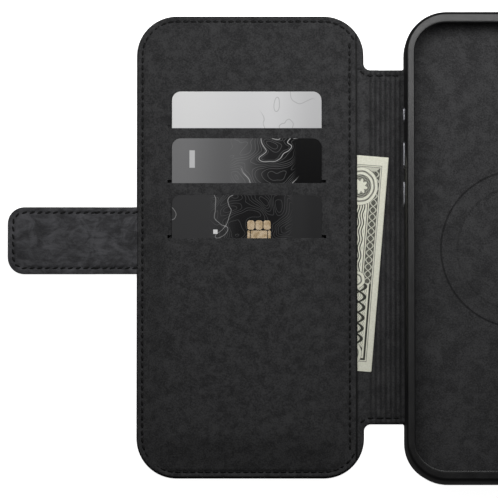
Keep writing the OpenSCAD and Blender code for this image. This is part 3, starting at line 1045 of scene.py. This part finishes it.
def strap_shape(z0, z1):
    """Height over a strap sheet: a face above the split sinks at its seam and rounds over at its edges."""

    def shape(x, y, t):
        across = STRAP_HALF - abs(y - STRAP_Y)
        near = min(across, x - STRAP_END)
        cx, cy = STRAP_END + STRAP_R, STRAP_HALF - STRAP_R
        if x < cx and abs(y - STRAP_Y) > cy:
            near = STRAP_R - math.hypot(cx - x, abs(y - STRAP_Y) - cy)
        dip = 0.42 * (1 - smooth_step(0.1, 0.9, abs(near - STRAP_SEAM_IN)))
        crown = 0.3 * (1 - smooth_step(2.0, 6.0, near)) + 0.25 * (1 - smooth_step(0, 1.6, near))
        top = z1 - (dip + crown if z1 > STRAP_SPLIT else 0)
        return z0 + (top - z0) * t

    return shape


def strap_plate(name, x0, x1, z0, z1, material, slot, *nodes, end=False):
    """A sheet of the strap from x0 to x1; end rounds its outer corners."""
    corners = [(x0, STRAP_Y - STRAP_HALF, STRAP_R if end else 0), (x1, STRAP_Y - STRAP_HALF, 0)]
    corners += [(x1, STRAP_Y + STRAP_HALF, 0), (x0, STRAP_Y + STRAP_HALF, STRAP_R if end else 0)]
    across = (-1.0, -0.5, 0, 0.5, 1.0)
    rows = [STRAP_Y + s * (STRAP_HALF - STRAP_SEAM_IN + d) for s in (-1, 1) for d in across]
    columns = [STRAP_END + STRAP_SEAM_IN + d for d in across] if end else []
    folds = [fold + d * 0.45 for fold in (STRAP_FOLD_A, STRAP_FOLD_B) for d in range(-5, 6)]
    columns += [x for x in folds if x0 < x < x1]
    made = plate(
        name, facing_up(rounded_path(corners)), z0, z1, 1.2, 0.25, columns, rows,
        seams=(STRAP_MID,), shape=strap_shape(z0, z1),
    )
    return finish_piece(made, material, slot, *nodes)


def across_strap(obj):
    across_fold(obj, STRAP_TOP)


ROOT_X = COVER_LEFT + 0.4
root_face = strap_plate(
    "strap_root_face", STRAP_MID, ROOT_X, STRAP_SPLIT, STRAP_TOP, NUBUCK, "nubuck", "strap_root"
)
root_back = strap_plate(
    "strap_root_back", STRAP_MID, ROOT_X, STRAP_LOW, STRAP_SPLIT, LEATHER, "smooth_leather"
)
tip_face = strap_plate(
    "strap_tip_face", STRAP_END, STRAP_MID, STRAP_SPLIT, STRAP_TOP, NUBUCK, "nubuck",
    "strap_tip_lining", "strap_side_lining", end=True,
)
tip_back = strap_plate(
    "strap_tip_back", STRAP_END, STRAP_MID, STRAP_LOW, STRAP_SPLIT, LEATHER, "smooth_leather",
    "strap_tip_leather", "strap_side_leather", "strap_core", "strap_magnets", end=True,
)
for piece in (root_face, root_back):
    across_strap(piece)
for piece in (tip_face, tip_back):
    across_strap(piece)

# ---------------------------------------------------------------- seams


def stitch_tree():
    """Geometry Nodes: lays short flattened stitches along a curve, each turned by a lean."""
    tree, given = start_group("seam_stitches", ("Pitch", "Stitch length", "Thread", "Lean"))
    inputs = {"Curve": given["Geometry"], "Length": given["Pitch"]}
    points = add(tree, "GeometryNodeCurveToPoints", inputs, mode="LENGTH").outputs
    ball = add(tree, "GeometryNodeMeshUVSphere", {"Segments": 8, "Rings": 5, "Radius": 0.5}).outputs["Mesh"]
    soft = add(tree, "GeometryNodeSetShadeSmooth", {"Geometry": ball}).outputs[0]
    inputs = {"X": given["Stitch length"], "Y": given["Thread"], "Z": times(tree, given["Thread"], 0.5)}
    size = add(tree, "ShaderNodeCombineXYZ", inputs).outputs[0]
    inputs = {"Vector": points["Tangent"]}
    along = add(tree, "FunctionNodeAlignRotationToVector", inputs, axis="X", pivot_axis="Z").outputs[0]
    lean = add(tree, "ShaderNodeCombineXYZ", {"Z": given["Lean"]}).outputs[0]
    inputs = {"Rotation": along, "Rotate By": lean}
    turned = add(tree, "FunctionNodeRotateRotation", inputs, rotation_space="LOCAL").outputs[0]
    inputs = {"Points": points["Points"], "Instance": soft, "Rotation": turned, "Scale": size}
    laid = add(tree, "GeometryNodeInstanceOnPoints", inputs).outputs[0]
    return end_group(tree, given, laid)


STITCHES = stitch_tree()


def seam(name, rows, *nodes, lean=0.0):
    """Rows of stitches; each row is a list of points in millimetres."""
    curve = bpy.data.curves.new(name, "CURVE")
    curve.dimensions = "3D"
    for row in rows:
        line = curve.splines.new("POLY")
        line.points.add(len(row) - 1)
        for point, spot in zip(line.points, row):
            point.co = (*(spot * MM), 1)
    made = use_tree(
        new_object(name, curve),
        STITCHES,
        {
            "Pitch": STITCH_PITCH * MM,
            "Stitch length": STITCH_LENGTH * MM,
            "Thread": THREAD_WIDTH * MM,
            "Lean": lean,
            "Material": THREAD,
        },
    )
    if nodes:
        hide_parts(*nodes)
    return made


def lifted(path, z):
    """A flat path as 3-D points at height z."""
    return [Vector((p[0], p[1], z)) for p in path]


outline_seam = rounded_path(hide_corners(SEAM_IN), closed=False)
on_cover = [p for p in outline_seam if p.x < FREE_EDGE_X - 0.4]
seam_z = LINING_TOP - 0.24
row_y = right_edge_y(SEAM_IN) - 1.2
free_row = [Vector((FREE_EDGE_X - SEAM_IN, -row_y)), Vector((FREE_EDGE_X - SEAM_IN, row_y))]
cover_seam = seam("cover_seam", [lifted(on_cover, seam_z), lifted(free_row, seam_z)], "cover_thread")
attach(cover_seam, "cover")
beside_tray(cover_seam)

low_side = [p for p in outline_seam if p.x >= FREE_EDGE_X - 0.4 and p.y < 0]
high_side = [p for p in outline_seam if p.x >= FREE_EDGE_X - 0.4 and p.y > 0]
notch_seam = seam("notch_seam", [lifted(low_side, FOLD_Z - 0.02), lifted(high_side, FOLD_Z - 0.02)])
across_cover_fold(notch_seam)
beside_tray(notch_seam)

spine_y = SPINE_HALF - SEAM_IN
spine_rows = [[(SPINE_MID + 0.6, y), (FOLD_TRAY_X - 1.9, y)] for y in (-spine_y, spine_y)]
spine_seam = seam("spine_seam", [lifted(row, FOLD_Z - 0.12) for row in spine_rows], "spine_thread")
across_tray_fold(spine_seam)
beside_tray(spine_seam)

strap_low, strap_high = (STRAP_Y + s * (STRAP_HALF - STRAP_SEAM_IN) for s in (-1, 1))
strap_seam_z = STRAP_TOP - 0.62
root_rows = [[(STRAP_MID + 0.7, y), (COVER_LEFT - 0.6, y)] for y in (strap_low, strap_high)]
root_rows = [lifted(row, strap_seam_z) for row in root_rows]
root_seam = seam("strap_root_seam", root_rows, "strap_side_thread", lean=0.3)
across_strap(root_seam)
tip_row = rounded_path(
    [
        (STRAP_MID - 0.7, strap_low, 0),
        (STRAP_END + STRAP_SEAM_IN, strap_low, STRAP_R - STRAP_SEAM_IN),
        (STRAP_END + STRAP_SEAM_IN, strap_high, STRAP_R - STRAP_SEAM_IN),
        (STRAP_MID - 0.7, strap_high, 0),
    ],
    closed=False,
)
tip_seam = seam("strap_tip_seam", [lifted(tip_row, strap_seam_z)], "strap_tip_thread", lean=0.3)
across_strap(tip_seam)

# ---------------------------------------------------------------- cards and chip


def box_path(x0, x1, y0, y1, r):
    """Rounded box between two corners."""
    return facing_up(rounded_box((x0 + x1) / 2, (y0 + y1) / 2, x1 - x0, y1 - y0, r))


def make_card(node, body, material, slot):
    """A card drawn over its CAD node, riding on the slide's body."""
    low, high = cad_box(node)
    path = box_path(low.x, high.x, low.y, high.y, CARD_R)
    made = plate(node + "_print", path, low.z, high.z, 20.0, 0.1, crisp=15)
    finish_piece(made, material, slot, node)
    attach(made, body)


make_card("card_upper", "card_a", CARD_SILVER, "card_silver")
make_card("card_middle", "card_b", CARD_GREY, "card_grey")
make_card("card_lower", "card_c", CARD_BLACK, "card_black")


def contact_pads():
    """Chip's contact pads: three small ones over a broad one, with gaps that show the card."""
    gap, row, side = 0.28, 3.4, 0.95
    top, left, right = CHIP_HIGH.y, CHIP_LOW.x, CHIP_HIGH.x
    third = (right - left - 2 * gap) / 3
    below = top - row - gap
    boxes = []
    for k in range(3):
        x0 = left + k * (third + gap)
        boxes.append((x0, x0 + third, top - row, top, 0.9))
    boxes.append((left, left + side, CHIP_LOW.y, below, 0.3))
    boxes.append((left + side + gap, right - side - gap, CHIP_LOW.y, below, 0.4))
    boxes.append((right - side, right, CHIP_LOW.y, below, 0.3))
    pads = []
    for i, box in enumerate(boxes):
        pads.append(plate(f"pad_{i}", box_path(*box), CHIP_LOW.z, CHIP_HIGH.z, 20, 0.012, crisp=15))
    for pad in pads:
        pad.select_set(True)
    bpy.context.view_layer.objects.active = pads[0]
    bpy.ops.object.join()
    made = bpy.context.view_layer.objects.active
    made.name = "chip_pads"
    return made


bpy.ops.object.select_all(action="DESELECT")
chip = finish_piece(contact_pads(), GOLD, "chip_gold", "card_chip")
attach(chip, "card_c")

# ---------------------------------------------------------------- folded note


def note_spot(u, v):
    """Point on the note, u from its right edge and v down from its top edge."""
    return NOTE_CORNER + Matrix.Rotation(NOTE_TILT, 2) @ Vector((-u, -v))


def folded_note():
    """Two leaves of the note, one on the other, closer at the fold along their lower edge than at the top."""
    bm = bmesh.new()
    columns, rows_down = 60, 40
    leaf, apart, thick = 0.07, 0.16, 0.05
    lowest = 2.0

    def leaf_face(level, raised):
        """Grid of vertices over a leaf; the upper leaf is a little to the left and lower down."""
        grid = []
        for i in range(columns + 1):
            u = NOTE_W * i / columns
            line = []
            for j in range(rows_down + 1):
                v = NOTE_L * j / rows_down
                p = note_spot(u + 0.25 * level, v + 0.2 * level)
                part = apart * (1 - smooth_step(0, NOTE_L, v) * 0.9)
                ripple = 0.03 * math.sin(v / 9 + u / 13)
                z = lowest + level * (leaf + part + ripple) + raised
                line.append(bm.verts.new((p.x, p.y, z)))
            grid.append(line)
        for i in range(columns):
            for j in range(rows_down):
                bm.faces.new((grid[i][j], grid[i + 1][j], grid[i + 1][j + 1], grid[i][j + 1]))
        return grid

    rim = [(i, 0) for i in range(columns)] + [(columns, j) for j in range(rows_down)]
    rim += [(i, rows_down) for i in range(columns, 0, -1)] + [(0, j) for j in range(rows_down, 0, -1)]
    for level in (0, 1):
        a, b = leaf_face(level, 0.0), leaf_face(level, thick)
        for (i, j), (k, m) in zip(rim, rim[1:] + rim[:1]):
            bm.faces.new((a[i][j], a[k][m], b[k][m], b[i][j]))
    bmesh.ops.recalc_face_normals(bm, faces=bm.faces[:])
    return mesh_object("folded_note", bm)


note = finish_piece(folded_note(), PAPER, "note_paper", "banknote_inner", "banknote_outer")
across_cover_fold(note)

# ---------------------------------------------------------------- phone tray


def smoothed(profile, rounds=2):
    """Rounds a closed profile by cutting its corners."""
    for _ in range(rounds):
        cut = []
        for a, b in zip(profile, profile[1:] + profile[:1]):
            cut += [a.lerp(b, 0.25), a.lerp(b, 0.75)]
        profile = cut
    return profile


def swept_rim(name, profile):
    """Closed wall: a profile of (distance from the corner centre, height) carried round the tray."""
    bm = bmesh.new()
    rings = []
    steps = 24
    for quarter, (sx, sy) in enumerate(((1, 1), (-1, 1), (-1, -1), (1, -1))):
        for k in range(steps + 1):
            angle = math.pi / 2 * (quarter + k / steps)
            out = Vector((math.cos(angle), math.sin(angle)))
            centre = Vector((sx * TRAY_CX, sy * TRAY_CY))
            wider = END_LIP * out.y**2
            reach = [p.x - wider if p.x < LIP_START else p.x for p in profile]
            rings.append([bm.verts.new((*(centre + out * r), p.y)) for r, p in zip(reach, profile)])
    count = len(profile)
    for a, b in zip(rings, rings[1:] + rings[:1]):
        for i in range(count):
            j = (i + 1) % count
            bm.faces.new((a[i], b[i], b[j], a[j]))
    bmesh.ops.recalc_face_normals(bm, faces=bm.faces[:])
    return mesh_object(name, bm, 60)


def rim_profile():
    """Bumper's cross-section: a bulging side, a rounded lip and the ledge that holds the phone."""
    wall, top = TRAY_R - 1.5, BUMPER_HIGH.z
    side = [(wall, 1.0), (14.2, 1.0), (14.85, 1.7), (15.2, 3.2), (15.42, 5.6), (15.3, 8.0), (14.95, 10.2)]
    lip = [(14.6, 11.6), (14.0, top + 0.05), (13.2, top + 0.04), (12.25, top + 0.04), (11.7, top - 0.1)]
    ledge = [(11.55, 11.55), (11.8, 11.0), (12.7, 10.98), (12.75, 10.6), (wall, 10.62)]
    return [Vector(p) for p in side + lip + ledge]


bumper = swept_rim("bumper_rim", smoothed(rim_profile()))


BUTTON_BODIES = {
    "action_button": "action",
    "volume_up_button": "volume_up",
    "volume_down_button": "volume_down",
    "side_button": "side",
}


def button_cutters(grow):
    """Holes in the bumper for the buttons, larger than them by grow on every side."""
    cutters = []
    for node in BUTTON_BODIES:
        low, high = cad_box(node)
        path = stadium((low.y + high.y) / 2, BUTTON_Z, high.y - low.y + 2 * grow, BUTTON_H + 2 * grow)
        cutters.append(prism(path, 0, -45, -38) if low.x < 0 else prism(path, 0, 38, 45))
    return cutters


port_cutters = []
for x, length, height in ((0, 13, 6.5), (-20, 12, 2.4), (20, 12, 2.4)):
    port_cutters.append(prism(stadium(x, BUTTON_Z, length, height), 1, -90, -80))
cut_away(bumper, button_cutters(0.2) + port_cutters)
finish_piece(bumper, RUBBER, "bumper_rubber", "bumper")
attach(bumper, "shell")


def make_button(node, body):
    """Metal cap with a rounded edge, and the stem behind it."""
    low, high = cad_box(node)
    side = -1 if low.x < 0 else 1
    face = low.x if side < 0 else high.x
    length = high.y - low.y
    y = (low.y + high.y) / 2
    bm = bmesh.new()
    layers = []
    for depth, shrink in ((0.0, 0.3), (0.06, 0.12), (0.2, 0.0), (1.3, 0.0), (1.31, 0.55), (3.0, 0.55)):
        path = stadium(y, BUTTON_Z, length - 2 * shrink, BUTTON_H - 2 * shrink)
        layers.append([bm.verts.new((face - side * depth, p.x, p.y)) for p in path])
    skin(bm, layers)
    bm.faces.new(layers[0])
    bm.faces.new(layers[-1])
    bmesh.ops.recalc_face_normals(bm, faces=bm.faces[:])
    made = mesh_object(node + "_cap", bm, 40)
    finish_piece(made, BUTTON_METAL, "button_metal", node)
    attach(made, body)


for node, body in BUTTON_BODIES.items():
    make_button(node, body)


def bell(r, centre, width):
    return math.exp(-(((r - centre) / width) ** 2))


def floor_height(r):
    """Tray's lining: the magnet ring below shows as a fine groove round it and a fainter one inside it."""
    groove = 0.16 * bell(r, RING_GROOVE, 0.3) + 0.07 * bell(r, RING_FAINT, 0.45)
    band = 0.04 * smooth_step(22.4, 23.6, r) * (1 - smooth_step(27.6, 28.7, r))
    return FLOOR_HIGH.z - 0.06 + band - groove


def ringed_floor(name):
    """Closed sheet drawn in rings about the magnet, out to the tray's wall."""
    bm = bmesh.new()
    edge = facing_up(rounded_box(0, 0, 2 * (TRAY_CX + FLOOR_R), 2 * (TRAY_CY + FLOOR_R), FLOOR_R))
    radii = [4, 12, 20] + [21.4 + 0.2 * k for k in range(14)] + [25, 26.5, 27.4]
    radii += [27.8 + 0.1 * k for k in range(18)] + [30, 32]
    spokes = 288
    directions = []
    for k in range(spokes):
        out = Vector((math.cos(2 * math.pi * k / spokes), math.sin(2 * math.pi * k / spokes)))
        reach = 0.0
        for a, b in zip(edge, edge[1:] + edge[:1]):
            run = b - a
            across = out.cross(run)
            if abs(across) > 1e-9 and 0 <= a.cross(out) / across <= 1:
                reach = max(reach, a.cross(run) / across)
        directions.append((out, reach))
    rings = [[out * r for out, reach in directions] for r in radii]
    for t in (0.25, 0.5, 0.75, 0.93, 1.0):
        rings.append([out * (radii[-1] + (reach - radii[-1]) * t) for out, reach in directions])
    top = [[bm.verts.new((p.x, p.y, floor_height(p.length))) for p in ring] for ring in rings]
    low = [bm.verts.new((p.x, p.y, FLOOR_LOW.z)) for p in rings[-1]]
    middle = bm.verts.new((0, 0, floor_height(0)))
    for k in range(spokes):
        j = (k + 1) % spokes
        bm.faces.new((middle, top[0][k], top[0][j]))
        for inner, outer in zip(top, top[1:] + [low]):
            bm.faces.new((inner[k], outer[k], outer[j], inner[j]))
    bm.faces.new(low)
    bmesh.ops.recalc_face_normals(bm, faces=bm.faces[:])
    return mesh_object(name, bm)


tray_floor = ringed_floor("tray_floor")
cut_away(tray_floor, [prism(camera_path, 2, -2, 8)])
finish_piece(tray_floor, SUEDE_TRAY, "microsuede", "shell_lining")
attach(tray_floor, "shell")

# ---------------------------------------------------------------- CAD pieces that stay

KEPT = {
    "tray": PLASTIC,
    "camera_bezel": RUBBER,
    "magnet_ring": STEEL,
    "alignment_magnet": STEEL,
    "keeper_plate": STEEL,
    "cover_board": BOARD,
    "card_backing": SUEDE,
    "divider_upper": SUEDE,
    "divider_lower": SUEDE,
}
for node, material in KEPT.items():
    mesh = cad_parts[node].data
    if not mesh.materials:
        mesh.materials.append(material)
    for index in range(len(mesh.materials)):
        mesh.materials[index] = material

# ---------------------------------------------------------------- floor, light and camera

floor_bm = bmesh.new()
bmesh.ops.create_grid(floor_bm, x_segments=1, y_segments=1, size=6000)
bmesh.ops.translate(floor_bm, vec=(0, 0, -0.05), verts=floor_bm.verts)
studio_floor = mesh_object("studio_floor", floor_bm)
PALE, pale_tree, pale_shader = start_material(
    "pale_studio_acrylic", 0.9, Specular_IOR_Level=0.0, Emission_Color=(1, 1, 1, 1), Emission_Strength=0.95
)
pale_grain = noise(pale_tree, place(pale_tree), 40, 2)
pale_tree.links.new(mix_colour(pale_tree, pale_grain, "#fcfcfc", "#ffffff"), pale_shader.inputs["Base Color"])
studio_floor.data.materials.append(PALE)
# the lit table is a plain ground for the eye only: it throws no light up into the black pieces
studio_floor.visible_diffuse = False
studio_floor.visible_glossy = False

world = bpy.data.worlds.new("studio")
world.use_nodes = True
world.node_tree.nodes["Background"].inputs["Color"].default_value = (1, 1, 1, 1)
world.node_tree.nodes["Background"].inputs["Strength"].default_value = 0.07
bpy.context.scene.world = world


def softbox(name, place_at, aim, width, height, watts):
    """Rectangular lamp at place_at, facing aim; metres and watts."""
    light = bpy.data.lights.new(name, "AREA")
    light.shape = "RECTANGLE"
    light.size, light.size_y = width, height
    light.energy = watts
    made = bpy.data.objects.new(name, light)
    made.location = place_at
    made.rotation_euler = (Vector(aim) - Vector(place_at)).to_track_quat("-Z", "Y").to_euler()
    bpy.context.scene.collection.objects.link(made)


softbox("key_left", (-0.17, 0.13, 0.28), (-0.15, 0.04, 0), 0.24, 0.12, 0.36)
softbox("key_right", (0.0, 0.115, 0.185), (-0.02, 0.06, 0), 0.2, 0.1, 0.29)
softbox("side_left", (-0.6, 0.3, 0.5), (-0.09, 0.0, 0), 0.4, 0.4, 0.3)
softbox("side_right", (0.5, 0.3, 0.5), (-0.09, 0.0, 0), 0.4, 0.4, 0.15)
bpy.context.scene.view_settings.view_transform = "Standard"

ELEVATION, DISTANCE, VIEW_WIDTH, VIEW_X, VIEW_Y = 82.3, 3.6, 0.1796, -0.0978, 0.00042
camera_data = bpy.data.cameras.new("camera")
camera_data.sensor_width = 36
camera_data.lens = 36 * DISTANCE / VIEW_WIDTH
camera_data.clip_start, camera_data.clip_end = 0.1, 100
camera = bpy.data.objects.new("camera", camera_data)
bpy.context.scene.collection.objects.link(camera)
tilt = math.radians(ELEVATION)
target = Vector((VIEW_X, VIEW_Y, 0.0))
camera.location = target + Vector((0, -math.cos(tilt), math.sin(tilt))) * DISTANCE
camera.rotation_euler = (target - camera.location).to_track_quat("-Z", "Y").to_euler()
bpy.context.scene.camera = camera
